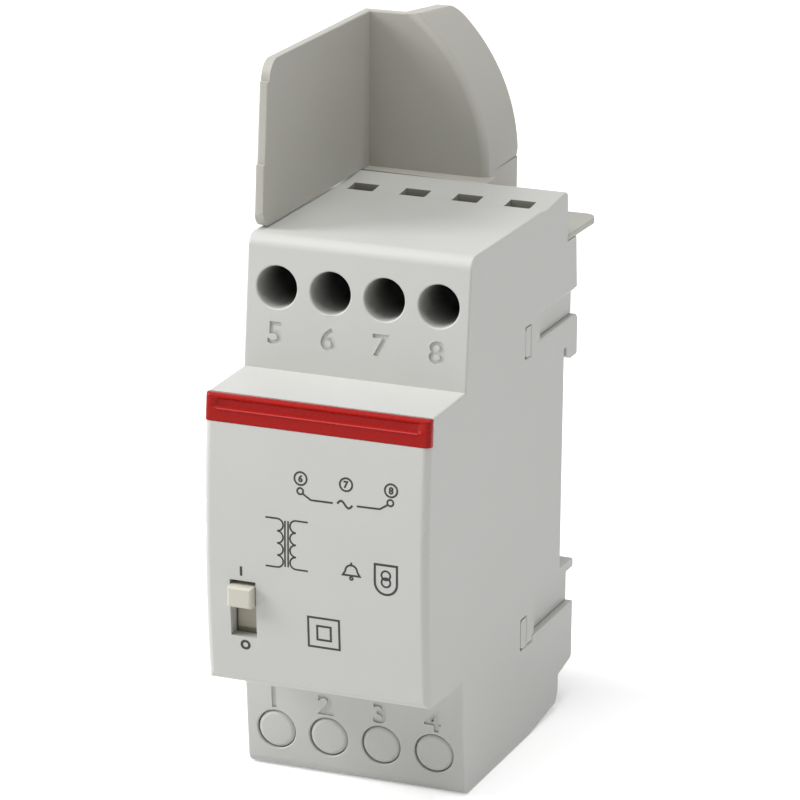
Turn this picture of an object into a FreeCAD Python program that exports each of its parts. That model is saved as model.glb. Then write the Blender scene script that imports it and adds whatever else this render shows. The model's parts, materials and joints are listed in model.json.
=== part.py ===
import FreeCAD, Part
import math
import os
import re
import Sketcher

# A two-module bell transformer for a 35 mm top-hat rail, in millimetres.
# Origin at the middle of the rail seat: +X to the right, +Y back to the wall, +Z up.

os.makedirs("parts", exist_ok=True)
doc = FreeCAD.newDocument("doorbell_transformer")
sheet = doc.addObject("Spreadsheet::Sheet", "dims")

SIZES = {
    # housing
    "width": 35.8, "face_depth": 57.5, "face_tall": 45, "face_peak": 3.5, "face_radius": 200,
    "step_back": 14.9, "step_rise": 0.3, "shoulder_lean": 1.8, "top_height": 42.9, "foot_depth": 41.7,
    "side_wall": 1.4, "front_wall": 2.0, "rest_wide": 10, "top_wall": 1.7, "rear_wall": 1.7,
    "edge_round": 1.2, "brow_round": 0.8, "shoulder_round": 2.0,
    # top of the housing behind the wire entries
    "dip_back": 8.9, "dip_depth": 0.3, "dip_run": 2.6, "crest_back": 2.0, "crest_rise": 0.45,
    "crest_round": 0.8, "ledge_height": 35.3, "ledge_back": 4.3, "upper_rear": 5.0, "upper_nape": 0.3,
    # lower rear block
    "low_rear": 5.8, "heel_rise": 6.9, "low_rear_bottom": "=foot_depth - heel_rise", "heel_slope": 1.1,
    "heel_height": "=low_rear_bottom + heel_slope", "heel_inset": 0.2, "heel_round": 0.8, "tail_rise": 1.2,
    "tail_height": "=foot_depth - tail_rise", "tail_inset": 1.3, "sole_back": 12.6,
    # opening for the rail base
    "rail_tall": 35, "rail_thick": 1.0, "rail_gap": 0.6, "hook_tall": 5.0, "tab_tall": 7.7,
    "base_top": "=rail_tall/2 + hook_tall", "base_bottom": "=rail_tall/2 + tab_tall", "base_front": 12.4,
    "base_gap": 0.1, "base_sink": 0.15,
    # finger recesses and snap windows
    "recess_depth": 1.0, "recess_tall": 4.5, "recess_front": 11.4, "recess_backing": 1.3,
    "window_wide": 2.5, "window_tall": 5.0, "window_back": 16.3, "window_rise": 6.1,
    "window_height": "=rail_tall/2 + window_rise", "snap_gap": 0.12, "arm_thick": 1.3, "arm_gap": 0.15,
    "arm_root": 2.0, "lug_sink": 0.05, "lug_cut": 0.8, "seam_wide": 0.15, "seam_deep": 0.3,
    # seat, hook and tab of the rail base
    "lip_gap": 0.2, "lip_grip": 1.8, "lip_height": "=rail_tall/2 - lip_grip", "lip_lead": 0.8,
    "lip_run": 2.0, "hook_rear": 6.1, "hook_chamfer": 1.0, "lip_chamfer": 0.4, "shoulder_tab": 1.5,
    "seat_wall": 1.8, "seat_lid": 0.7, "base_wall": 2.4, "base_roof": 0.7, "base_floor": 1.5,
    # rail latch and its spring
    "latch_wide": 14.0, "latch_front": 0.4, "latch_thick": 4.2, "latch_rise": 0.7,
    "latch_low": "=foot_depth - latch_rise", "jaw_grip": 1.6, "latch_grip": "=rail_tall/2 - jaw_grip",
    "latch_travel": 3.5, "latch_side_gap": 0.3, "latch_face_gap": 0.25, "wing_wide": 1.2,
    "wing_thick": 1.4, "wing_gap": 0.2, "wing_top": "=rail_tall/2 + rail_gap + seat_lid + wing_gap",
    "wing_rise": 0.4, "wing_bottom": "=heel_height - wing_rise", "jaw_tip": 1.0, "jaw_slope": 3.6,
    "grip_gap": 0.3, "spring_window": 5.4, "spring_rise": 13.3, "spring_top": "=heel_height - spring_rise",
    "spring_long": 8.0, "spring_outer": 3.6, "spring_wire": 0.5, "spring_turns": 5, "post_tall": 1.2,
    "post_wide": 3.6, "stop_gap": 0.5, "pry_wide": 7.0, "pry_drop": 1.5,
    "pry_top": "=heel_height + pry_drop", "pry_tall": 2.2,
    # terminals
    "end_margin": 0.6, "pitch": "=(width - 2*end_margin)/4", "screw_height": 35.2, "entry_wide": 4.16,
    "entry_deep": 3.46, "entry_back": 8.0, "access_radius": 3.25, "tube_wall": 0.8, "tube_end": 23.7,
    "screw_radius": 1.6, "head_radius": 2.7, "head_thick": 2.2, "head_seat": 21.2, "slot_wide": 0.8,
    "slot_deep": 1.2, "thread_gap": 0.05, "ledge_thick": 1.4, "tip_gap": 0.1, "entry_gap": 0.3,
    "cage_apart": 2.65, "cage_wide": "=pitch - cage_apart", "cage_side": 0.8, "cage_tall": 6.0,
    "cage_nut": 2.2, "cage_rear": 1.2, "cage_front": 16.0, "bar_thick": 1.0, "bar_play": 0.2,
    "bar_wide": "=cage_wide - 2*cage_side - 2*bar_play", "bar_up": 4.4, "bar_rise": 1.8,
    "bar_down": "=screw_height - base_bottom - bar_rise", "bar_foot": 3.0, "carrier_floor": 4.3,
    "floor_thick": 0.9, "carrier_wall": 1.0, "carrier_gap": 0.1, "chamber_gap": 0.3, "carrier_end": 3.6,
    "slope_gap": 0.1, "shank_gap": 0.08,
    # blanking plugs
    "plug_radius": 3.05, "plug_gap": 0.12, "plug_thick": 2.0, "plug_rest": 0.4,
    # marking strip
    "strip_tall": 4.1, "strip_thick": 1.0, "strip_gap": 0.05,
    # slide switch
    "switch_margin": 6.3, "switch_across": "=width/2 - switch_margin", "switch_down": 10.3,
    "slot_across": 4.2, "slot_tall": 9.0, "switch_travel": 4.4, "knob_wide": 3.9, "knob_tall": 3.2,
    "knob_proud": 1.5, "knob_round": 0.4, "stem_wide": 2.4, "stem_gap": 0.3, "switch_wide": 7.2,
    "switch_tall": 14.4, "switch_front": 54.0, "switch_deep": 8.6, "switch_skin": 0.8, "slider_wide": 5.0,
    "slider_thick": 2.0, "slider_gap": 0.2, "bridge_thick": 0.4, "contact_gap": 0.15, "contact_wide": 1.4,
    "contact_thick": 0.5, "contact_tail": 3.0, "contact_apart": 2.0, "cradle_thick": 1.2,
    "cradle_deep": 4.0,
    # transformer core and coil
    "core_play": 0.2, "core_tall": "=2*(base_top - base_roof - strap_thick - core_play)", "core_depth": 35,
    "core_rear": 3.5, "core_front": "=core_depth + core_rear", "core_margin": 10.4,
    "core_stack": "=width - 2*core_margin", "yoke": 7, "limb": 14, "coil_gap": 0.15, "bobbin_wall": 0.9,
    "flange_play": 0.2, "flange_tall": "=core_tall - limb - 2*flange_play", "flange_margin": 3.6,
    "flange_wide": "=width - 2*flange_margin", "divider_set": 3.5,
    "divider_back": "=core_front - core_depth/2 - divider_set", "primary_rise": 4.6, "secondary_rise": 4.1,
    "tape_thick": 0.25, "coil_round": 1.5, "strap_thick": 0.6, "strap_inset": 1.5,
    "strap_wide": "=core_stack - 2*strap_inset", "strap_tab": 3.0, "rib_wide": 8, "rib_tall": 4,
    "rib_height": 14, "fuse_radius": 1.7, "fuse_play": 0.8, "fuse_side": 3.5,
    "fuse_across": "=core_stack/2 + fuse_side",
    "fuse_front": "=core_front - yoke - bobbin_wall - fuse_play",
    "fuse_rear": "=divider_back + bobbin_wall/2 + fuse_play",
    # separation shield
    "shield_thick": 1.4, "shield_top": 68.2, "shield_front": 38.5, "shield_gap": 0.2,
    "shield_low": "=top_height + shield_gap", "panel_front": 3.0, "arc_low": 43.8, "arc_radius": 30.4,
    "arc_right": 3.4, "bend_round": 1.2, "shield_rear": 16.5, "flange_round": 1.8, "flange_fall": 0.8,
    "shield_foot": 14.3, "foot_thick": 1.0, "foot_round": 2.2, "edge_step": 0.6, "edge_lean": 0.4,
    "low_step": 52.7, "high_step": 65.1, "crown_round": 3.0, "chin_round": 2.2, "tongue_right": 4.3,
    "tongue_thick": 1.0, "tongue_drop": 0.05, "nape_gap": 0.3, "peg_wide": 5.0, "peg_thick": 1.6,
    "peg_long": 2.4, "peg_gap": 0.1, "peg_across": 11.0,
}

NORMAL = {"XY_Plane": 1, "XZ_Plane": -1, "YZ_Plane": 1}
SPOTS = ["-1.5*pitch", "-0.5*pitch", "0.5*pitch", "1.5*pitch"]


def fill_sheet():
    for row, (alias, value) in enumerate(SIZES.items(), 1):
        sheet.set(f"A{row}", alias)
        sheet.set(f"B{row}", str(value))
        sheet.setAlias(f"B{row}", alias)
    doc.recompute()


def bound(expression):
    """Turn plain size names into references to the sheet."""
    return re.sub(r"[a-z_]+", lambda word: f"dims.{word[0]}" if word[0] in SIZES else word[0], expression)


def number(expression):
    return float(sheet.evalExpression(expression))


def new_body(label):
    body = doc.addObject("PartDesign::Body", label)
    body.Label = label
    return body


def new_sketch(body, role, level):
    sketch = body.newObject("Sketcher::SketchObject", "outline")
    plane = [item for item in body.Origin.OriginFeatures if item.Role == role][0]
    sketch.AttachmentSupport = [(plane, "")]
    sketch.MapMode = "FlatFace"
    sketch.setExpression("AttachmentOffset.Base.z", bound(f"{NORMAL[role]} * ({level})"))
    return sketch


def pin(sketch, geometry, point, across, along):
    """Hold a sketch point at two sizes measured from the origin."""
    for kind, size in (("DistanceX", across), ("DistanceY", along)):
        index = sketch.addConstraint(Sketcher.Constraint(kind, -1, 1, geometry, point, number(size)))
        sketch.setExpression(f"Constraints[{index}]", bound(size))


def set_radius(sketch, geometry, radius):
    index = sketch.addConstraint(Sketcher.Constraint("Radius", geometry, number(radius)))
    sketch.setExpression(f"Constraints[{index}]", bound(radius))


def arc_between(start, end, radius, side):
    """Arc from start to end; side is 1 when it bulges left of the way between them, -1 when right."""
    chord = end - start
    left = FreeCAD.Vector(-chord.y, chord.x, 0).normalize()
    centre = (start + end) * 0.5 - left * (side * math.sqrt(radius ** 2 - (chord.Length / 2) ** 2))
    ordered = (end, start) if side > 0 else (start, end)
    first, last = [math.atan2(point.y - centre.y, point.x - centre.x) for point in ordered]
    if last < first:
        last += 2 * math.pi
    return Part.ArcOfCircle(Part.Circle(centre, FreeCAD.Vector(0, 0, 1), radius), first, last)


def outline(sketch, corners):
    """Closed outline. A corner is (across, along), or (across, along, radius, side) where an arc starts."""
    places = [FreeCAD.Vector(number(corner[0]), number(corner[1]), 0) for corner in corners]
    ends = []
    for corner, start, end in zip(corners, places, places[1:] + places[:1]):
        if len(corner) == 2:
            index = sketch.addGeometry(Part.LineSegment(start, end), False)
            ends.append((index, 1, 2))
            continue
        index = sketch.addGeometry(arc_between(start, end, number(corner[2]), corner[3]), False)
        set_radius(sketch, index, corner[2])
        ends.append((index, 2, 1) if corner[3] > 0 else (index, 1, 2))
    for (index, first, last), (following, joint, _) in zip(ends, ends[1:] + ends[:1]):
        sketch.addConstraint(Sketcher.Constraint("Coincident", index, last, following, joint))
    for (index, first, _), corner in zip(ends, corners):
        pin(sketch, index, first, corner[0], corner[1])


def oblong(left, right, low, high):
    return [(left, low), (right, low), (right, high), (left, high)]


def centred(across, half_across, along, half_along):
    return oblong(f"{across} - ({half_across})", f"{across} + ({half_across})",
                  f"{along} - ({half_along})", f"{along} + ({half_along})")


def rounded(half_across, half_along, radius):
    """Rectangle about the origin with rounded corners."""
    right, top = f"({half_across})", f"({half_along})"
    return [
        (f"-{right} + ({radius})", f"-{top}"), (f"{right} - ({radius})", f"-{top}", radius, -1),
        (right, f"-{top} + ({radius})"), (right, f"{top} - ({radius})", radius, -1),
        (f"{right} - ({radius})", top), (f"-{right} + ({radius})", top, radius, -1),
        (f"-{right}", f"{top} - ({radius})"), (f"-{right}", f"-{top} + ({radius})", radius, -1),
    ]


def circle(sketch, across, along, radius):
    place = FreeCAD.Vector(number(across), number(along), 0)
    index = sketch.addGeometry(Part.Circle(place, FreeCAD.Vector(0, 0, 1), number(radius)), False)
    set_radius(sketch, index, radius)
    pin(sketch, index, 3, across, along)


def extrude(body, kind, name, role, start, end, outlines=(), circles=()):
    """Pad or Pocket between two levels, start below end, along the plane's own axis."""
    sketch = new_sketch(body, role, start)
    for corners in outlines:
        outline(sketch, corners)
    for across, along, radius in circles:
        circle(sketch, across, along, radius)
    feature = body.newObject(f"PartDesign::{kind}", name)
    feature.Profile = sketch
    feature.setExpression("Length", bound(f"({end}) - ({start})"))
    feature.Reversed = (NORMAL[role] < 0) == (kind == "Pad")
    return feature


def pad(body, name, role, start, end, outlines=(), circles=()):
    return extrude(body, "Pad", name, role, start, end, outlines, circles)


def cut(body, name, role, start, end, outlines=(), circles=()):
    return extrude(body, "Pocket", name, role, start, end, outlines, circles)


def lies_on(edge, **planes):
    """True where both ends of an edge keep the given coordinates."""
    for axis, size in planes.items():
        if any(abs(getattr(vertex.Point, axis) - number(size)) > 0.01 for vertex in edge.Vertexes):
            return False
    return True


def is_arc(edge, radius):
    return isinstance(edge.Curve, Part.Circle) and abs(edge.Curve.Radius - number(radius)) < 0.01


def dress(body, kind, name, size, test):
    """Fillet or Chamfer on the edges that pass the test."""
    doc.recompute()
    base = body.Tip
    picked = [f"Edge{index}" for index, edge in enumerate(base.Shape.Edges, 1) if test(edge)]
    feature = body.newObject(f"PartDesign::{kind}", name)
    feature.Base = (base, picked)
    feature.setExpression("Radius" if kind == "Fillet" else "Size", bound(size))
    return feature


def place(body, across="0", back="0", height="0", turned=False):
    """Put a body built about its own origin; turned swings it half a turn about its Y axis."""
    if turned:
        body.Placement.Rotation = FreeCAD.Rotation(FreeCAD.Vector(0, 1, 0), 180)
    for axis, size in zip("xyz", (across, back, height)):
        body.setExpression(f"Placement.Base.{axis}", bound(size))


def both(outlines):
    """The same outlines on the right and, mirrored across X, on the left."""
    return outlines + [[(f"-({corner[0]})", *corner[1:]) for corner in corners] for corners in outlines]


# Places on the side profile

def face_at(height):
    """Depth of the crowned front face at a height."""
    return f"(-face_depth + ({height} - face_peak)^2/(2*face_radius))"


HALF = "width/2"
INNER = "(width/2 - side_wall)"
BROW = "face_tall/2"
STEP = "(step_back - face_depth)"
LEAN = "(step_back + shoulder_lean - face_depth)"
NOTCH = "-base_front"
CHANNEL = "(latch_wide/2 + latch_side_gap)"
GROOVE = "(latch_wide/2 + wing_wide + latch_side_gap)"
SEAT_LOW = "-(rail_tall/2 + rail_gap)"
LIP = "(rail_thick + lip_gap)"
BAR_FRONT = "(entry_back + entry_deep/2 + entry_gap + bar_thick)"
CAGE_REAR = "(entry_back - entry_deep/2 - entry_gap)"
ENTRY_FRONT = "-(entry_back + entry_deep/2)"
ENTRY_REAR = "-(entry_back - entry_deep/2)"
SPRING_LOW = "-(spring_top + spring_long)"
LATCH_REAR = "(latch_front + latch_thick)"
KNOB_HEIGHT = "(switch_travel/2 - switch_down)"
SLIDER_BACK = "-(switch_front - switch_skin - slider_gap - slider_thick)"
YOKE_BACK = "-(core_front - yoke)"
LIMB_END = "-(core_front - core_depth + yoke)"
CORE_BACK = "-(core_front - core_depth)"
TUBE_ACROSS = "(core_stack/2 + coil_gap + bobbin_wall)"
TUBE_UP = "(limb/2 + coil_gap + bobbin_wall)"
FOOT_TOP = "(ledge_height + foot_thick)"
PEG_BACK = "((upper_nape + ledge_back)/2)"


def housing_side():
    """Outer side profile: crowned face, leaning shoulders and the opening for the rail base."""
    return [
        (face_at("-face_tall/2"), f"-{BROW}", "face_radius", 1),
        (face_at(BROW), BROW),
        (STEP, f"{BROW} + step_rise"),
        (LEAN, "top_height"),
        ("-(dip_back + dip_run)", "top_height"),
        ("-dip_back", "top_height - dip_depth"),
        ("-crest_back", "top_height + crest_rise"),
        ("upper_nape", "top_height + crest_rise"),
        ("upper_nape", "ledge_height"),
        ("ledge_back", "ledge_height"),
        ("upper_rear", "base_top + recess_tall"),
        ("upper_rear", "base_top + base_gap"),
        (NOTCH, "base_top + base_gap"),
        (NOTCH, "-(base_bottom + base_gap)"),
        ("low_rear", "-(base_bottom + base_gap)"),
        ("low_rear", "-low_rear_bottom"),
        ("-heel_inset", "-heel_height"),
        ("-heel_inset", "-(heel_height + 2.6)"),
        ("-tail_inset", "-tail_height"),
        ("-sole_back", "-foot_depth"),
        (LEAN, "-foot_depth"),
        (STEP, f"-({BROW} + step_rise)"),
    ]


def housing_hollow():
    """Inside of the housing, open into the rail base's place."""
    return [
        (f"{face_at('-face_tall/2')} + front_wall", f"-({BROW} - top_wall)", "face_radius - front_wall", 1),
        (f"{face_at(BROW)} + front_wall", f"{BROW} - top_wall"),
        (f"{STEP} + top_wall", f"{BROW} - top_wall"),
        (f"{LEAN} + top_wall", "top_height - top_wall"),
        ("upper_nape - 0.7 - rear_wall", "top_height - top_wall"),
        ("upper_nape - 0.7 - rear_wall", "ledge_height - top_wall"),
        ("ledge_back - rear_wall + 0.5", "ledge_height - top_wall"),
        ("ledge_back - rear_wall + 0.5", "-(base_bottom + base_gap)"),
        ("-rear_wall", "-(base_bottom + base_gap)"),
        ("-rear_wall", "-(foot_depth - top_wall - 1)"),
        ("-sole_back", "-(foot_depth - top_wall)"),
        (f"{LEAN} + top_wall", "-(foot_depth - top_wall)"),
        (f"{STEP} + top_wall", f"-({BROW} - top_wall)"),
    ]


def latch_channel():
    """Plan of the latch's channel: a slot with a groove for the wings on each side."""
    front, groove_back = "latch_front - latch_face_gap", "latch_front + wing_thick + latch_face_gap"
    return [(f"-{GROOVE}", front), (GROOVE, front), (GROOVE, groove_back), (CHANNEL, groove_back),
            (CHANNEL, "low_rear + 1"), (f"-{CHANNEL}", "low_rear + 1"), (f"-{CHANNEL}", groove_back),
            (f"-{GROOVE}", groove_back)]


def finger_recess(skin, bottom, top):
    """Section of a side recess whose upper end runs out at 45 degrees."""
    return [(f"{skin} - recess_depth", bottom), (f"{skin} + 1", bottom),
            (f"{skin} + 1", f"{top} + 1"), (f"{skin} - recess_depth", f"{top} - recess_depth")]


def windows():
    """The snap windows seen from the side."""
    return [centred("-window_back", "window_wide/2", height, "window_tall/2")
            for height in ("window_height", "-window_height")]


def lugs():
    """The lugs in the windows, their front corners cut away."""
    front, back = "-window_back - window_wide/2 + snap_gap", "-window_back + window_wide/2 - snap_gap"
    half = "(window_tall/2 - snap_gap)"
    return [[(f"{front} + lug_cut", f"{height} - {half}"), (back, f"{height} - {half}"),
             (back, f"{height} + {half}"),
             (f"{front} + lug_cut/2", f"{height} + {half}"), (front, f"{height} + {half} - lug_cut/2"),
             (front, f"{height} - {half} + lug_cut/2")]
            for height in ("window_height", "-window_height")]


def snap_seam():
    """Parting line from the foot of a lower window back to the opening and up its corner."""
    foot, front = "-(window_height + window_tall/2)", "-window_back + window_wide/2 - 0.2"
    back, top = f"{NOTCH} + seam_wide", "-(base_bottom + base_gap) + 0.1"
    return [(front, foot), (back, foot), (back, top), (NOTCH, top), (NOTCH, f"{foot} + seam_wide"),
            (front, f"{foot} + seam_wide")]


def front_cover():
    body = new_body("front_cover")
    pad(body, "block", "YZ_Plane", f"-{HALF}", HALF, [housing_side()])
    dress(body, "Fillet", "shoulder_edges", "shoulder_round",
          lambda edge: lies_on(edge, y=LEAN, z="top_height") or lies_on(edge, y=LEAN, z="-foot_depth"))
    dress(body, "Fillet", "face_edges", "edge_round",
          lambda edge: is_arc(edge, "face_radius") or lies_on(edge, y=face_at("-face_tall/2"), z=f"-{BROW}"))
    dress(body, "Fillet", "crest", "crest_round",
          lambda edge: lies_on(edge, y="upper_nape", z="top_height + crest_rise"))
    dress(body, "Fillet", "heel", "heel_round",
          lambda edge: lies_on(edge, y="low_rear", z="-low_rear_bottom"))
    cut(body, "hollow", "YZ_Plane", f"-{INNER}", INNER, [housing_hollow()])
    pad(body, "recess_backing", "XZ_Plane", "-recess_front", "ledge_back - rear_wall + 1",
        both([oblong(f"{INNER} - recess_backing", f"{INNER} + 0.2",
                     "base_top + base_gap", "base_top + recess_tall + 1.5")]))
    cut(body, "finger_recess", "XZ_Plane", "-recess_front", "upper_rear + 1",
        both([finger_recess(HALF, "base_top", "base_top + recess_tall")]))
    cut(body, "snap_windows", "YZ_Plane", "-width", "width", windows())
    for side, near, far in (("right", f"{HALF} - seam_deep", f"{HALF} + 1"),
                            ("left", f"-{HALF} - 1", f"-{HALF} + seam_deep")):
        cut(body, f"{side}_seam", "YZ_Plane", near, far, [snap_seam()])
    screw_passages(body)
    low_block(body)
    front_openings(body)
    cut(body, "shield_sockets", "XY_Plane", "ledge_height - top_wall - 1", "ledge_height + 1",
        both([oblong("peg_across - peg_wide/2 - peg_gap", "peg_across + peg_wide/2 + peg_gap",
                     f"{PEG_BACK} - peg_thick/2 - peg_gap", f"{PEG_BACK} + peg_thick/2 + peg_gap")]))
    pad(body, "core_rests", "XZ_Plane", "-(face_depth - 2*front_wall)", "-(core_front + strap_thick)",
        [centred("0", "rest_wide/2", f"{side}({BROW} - top_wall)", "top_wall/2") for side in ("", "-")])


def screw_passages(body):
    """Screwdriver tubes, their bores and the wire entries over and under them."""
    tubes = [(spot, height, "access_radius + tube_wall") for spot in SPOTS
             for height in ("screw_height", "-screw_height")]
    pad(body, "screw_tubes", "XZ_Plane", f"{LEAN} + top_wall/2", "-tube_end", circles=tubes)
    cut(body, "screw_bores", "XZ_Plane", f"{STEP} - 2", "-tube_end + 1",
        circles=[(spot, "screw_height", "access_radius") for spot in SPOTS])
    cut(body, "plug_bores", "XZ_Plane", f"{STEP} - 2", f"{LEAN} + plug_thick",
        circles=[(spot, "-screw_height", "plug_radius + plug_gap") for spot in SPOTS])
    cut(body, "lower_bores", "XZ_Plane", f"{LEAN} + plug_thick - 0.5", "-tube_end + 1",
        circles=[(spot, "-screw_height", "plug_radius - plug_rest") for spot in SPOTS])
    entries = [oblong(f"{spot} - entry_wide/2", f"{spot} + entry_wide/2", ENTRY_FRONT, ENTRY_REAR)
               for spot in SPOTS]
    cut(body, "upper_entries", "XY_Plane", "top_height - top_wall - 2", "top_height + 2", entries)
    cut(body, "lower_entries", "XY_Plane", "-foot_depth - 1", "-foot_depth + top_wall + 2", entries)


def low_block(body):
    """Channel for the rail latch, hollows on both sides of it and the post that the spring stands on."""
    cut(body, "latch_channel", "XY_Plane", "-(heel_height + 1)", "-base_bottom", [latch_channel()])
    cut(body, "block_hollows", "XY_Plane", "-(low_rear_bottom - top_wall)", "-base_bottom",
        both([oblong(f"{GROOVE} + side_wall", INNER, "-rear_wall - 0.5", "low_rear - rear_wall")]))
    pad(body, "spring_post", "XY_Plane", f"{SPRING_LOW} - post_tall", SPRING_LOW,
        [oblong("-post_wide/2", "post_wide/2", "-rear_wall/2", f"{LATCH_REAR} - stop_gap")])


def front_openings(body):
    """Seat of the marking strip, slot of the switch and the ribs that hold the switch."""
    cut(body, "strip_seat", "YZ_Plane", "-width", "width",
        [oblong("-face_depth - 1", f"{face_at(BROW)} + strip_thick", f"{BROW} - strip_tall - strip_gap",
                f"{BROW} + 1")])
    cut(body, "switch_slot", "XZ_Plane", "-face_depth - 1", "-face_depth + front_wall + 2",
        [oblong("-switch_across - slot_across/2", "-switch_across + slot_across/2",
                "-switch_down - slot_tall/2", "-switch_down + slot_tall/2")])
    near, far = "(switch_tall/2)", "(switch_tall/2 + cradle_thick)"
    pad(body, "switch_cradle", "XZ_Plane", "-face_depth + front_wall", "-(switch_front - cradle_deep)",
        [oblong("-switch_across - switch_wide/2", "-switch_across + switch_wide/2", low, high)
         for low, high in ((f"-switch_down + {near}", f"-switch_down + {far}"),
                           (f"-switch_down - {far}", f"-switch_down - {near}"))])


def rear_base():
    body = new_body("rear_base")
    rail_top = "(rail_tall/2 + rail_gap)"
    skin = "(width/2 - base_sink)"
    pad(body, "block", "YZ_Plane", f"-{skin}", skin, [[
        ("-base_front", "-base_bottom"), ("-base_front", "base_top"),
        ("hook_rear - hook_chamfer", "base_top"),
        ("hook_rear", "base_top - hook_chamfer"), ("hook_rear", "lip_height + lip_chamfer"),
        ("hook_rear - lip_chamfer", "lip_height"), (f"{LIP} + lip_run", "lip_height"),
        (LIP, "lip_height + lip_lead"),
        (LIP, rail_top), ("0", rail_top), ("0", SEAT_LOW), ("hook_rear - lip_chamfer", SEAT_LOW),
        ("hook_rear", f"{SEAT_LOW} - lip_chamfer"), ("hook_rear", f"{SEAT_LOW} - shoulder_tab"),
        ("low_rear", f"{SEAT_LOW} - shoulder_tab - 0.5"), ("low_rear", "-base_bottom")]])
    cut(body, "hollow", "XZ_Plane", "-base_front - 1", "-seat_wall",
        [oblong(f"-({skin} - base_wall)", f"{skin} - base_wall", "-base_bottom + base_floor",
                "base_top - base_roof")])
    cut(body, "wing_channel", "XY_Plane", "-base_bottom - 1", "-wing_top + wing_gap", [latch_channel()])
    cut(body, "jaw_channel", "XY_Plane", "-base_bottom - 1", f"{SEAT_LOW} + 1",
        [oblong(f"-{CHANNEL}", CHANNEL, "latch_front - latch_face_gap", "low_rear + 1")])
    cut(body, "finger_recess", "XZ_Plane", "-recess_front", "low_rear + 1",
        both([finger_recess(skin, "-base_bottom - 1", f"{SEAT_LOW} - shoulder_tab")]))
    rear = "-(core_front - core_depth - strap_thick)"
    pad(body, "core_ribs", "XZ_Plane", rear, "-seat_wall/2",
        [oblong("-rib_wide/2", "rib_wide/2", f"{side}rib_height - rib_tall/2",
                f"{side}rib_height + rib_tall/2")
         for side in ("", "-")])
    snap_arms(body)


def snap_arms(body):
    """Four arms that reach forward from the base; each carries a lug that fills a window."""
    tip, root, neck = "-(window_back + window_wide/2)", "-base_front + arm_root", "-base_front - 0.6"
    low, high = "(window_height - window_tall/2 + snap_gap)", "(window_height + window_tall/2 - snap_gap)"
    arm = [(tip, low), (root, low), (root, "base_top"), (neck, "base_top"), (neck, high), (tip, high)]
    lower_arm = [(across, f"-{along}") for across, along in arm[:2]]
    lower_arm += [(root, "-base_bottom"), (neck, "-base_bottom"), (neck, f"-{high}"), (tip, f"-{high}")]
    outer, lug = f"({INNER} - arm_gap)", f"({HALF} - lug_sink)"
    pad(body, "right_arms", "YZ_Plane", f"{outer} - arm_thick", outer, [arm, lower_arm])
    pad(body, "right_lugs", "YZ_Plane", f"{outer} - arm_thick", lug, lugs())
    pad(body, "left_arms", "YZ_Plane", f"-{outer}", f"-{outer} + arm_thick", [arm, lower_arm])
    pad(body, "left_lugs", "YZ_Plane", f"-{lug}", f"-{outer} + arm_thick", lugs())


def marking_strip():
    body = new_body("marking_strip")
    low, back = "(face_tall/2 - strip_tall)", f"{face_at(BROW)} + strip_thick"
    pad(body, "bar", "YZ_Plane", f"-{HALF}", HALF,
        [[(face_at(low), low, "face_radius", 1), (face_at(BROW), BROW), (back, BROW), (back, low)]])
    dress(body, "Fillet", "brow", "brow_round", lambda edge: lies_on(edge, y=face_at(BROW), z=BROW))


def shield_flange():
    """Front view of the curved flange: upright from the ledge, then an arc over to the left."""
    rise, inner = "(shield_top - arc_low)", "(arc_radius - shield_thick)"
    arc_left = f"(arc_right - arc_radius + sqrt(arc_radius^2 - {rise}^2))"
    arc_left_in = f"(arc_right - arc_radius + sqrt({inner}^2 - {rise}^2))"
    return [("arc_right - shield_thick", "ledge_height"), ("arc_right", "ledge_height"),
            ("arc_right", "arc_low", "arc_radius", -1), (arc_left, "shield_top"),
            (arc_left_in, "shield_top", inner, 1), ("arc_right - shield_thick", "arc_low")]


def side_plate():
    """Side view of the left wall: its front edge leans back and steps in twice."""
    fronts = ["-shield_front", "-shield_front + edge_lean", "-shield_front + edge_lean + edge_step",
              "-shield_front + 3*edge_lean + edge_step", "-shield_front + 3*edge_lean + 2*edge_step",
              "-shield_front + 4*edge_lean + 2*edge_step"]
    heights = ["shield_low", "low_step", "low_step", "high_step", "high_step", "shield_top"]
    back, nape = "panel_front + shield_thick", "(upper_nape + nape_gap)"
    return list(zip(fronts, heights)) + [(back, "shield_top"), (back, "ledge_height"), (nape, "ledge_height"),
                                         (nape, "top_height + crest_rise + shield_gap/2")]


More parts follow.
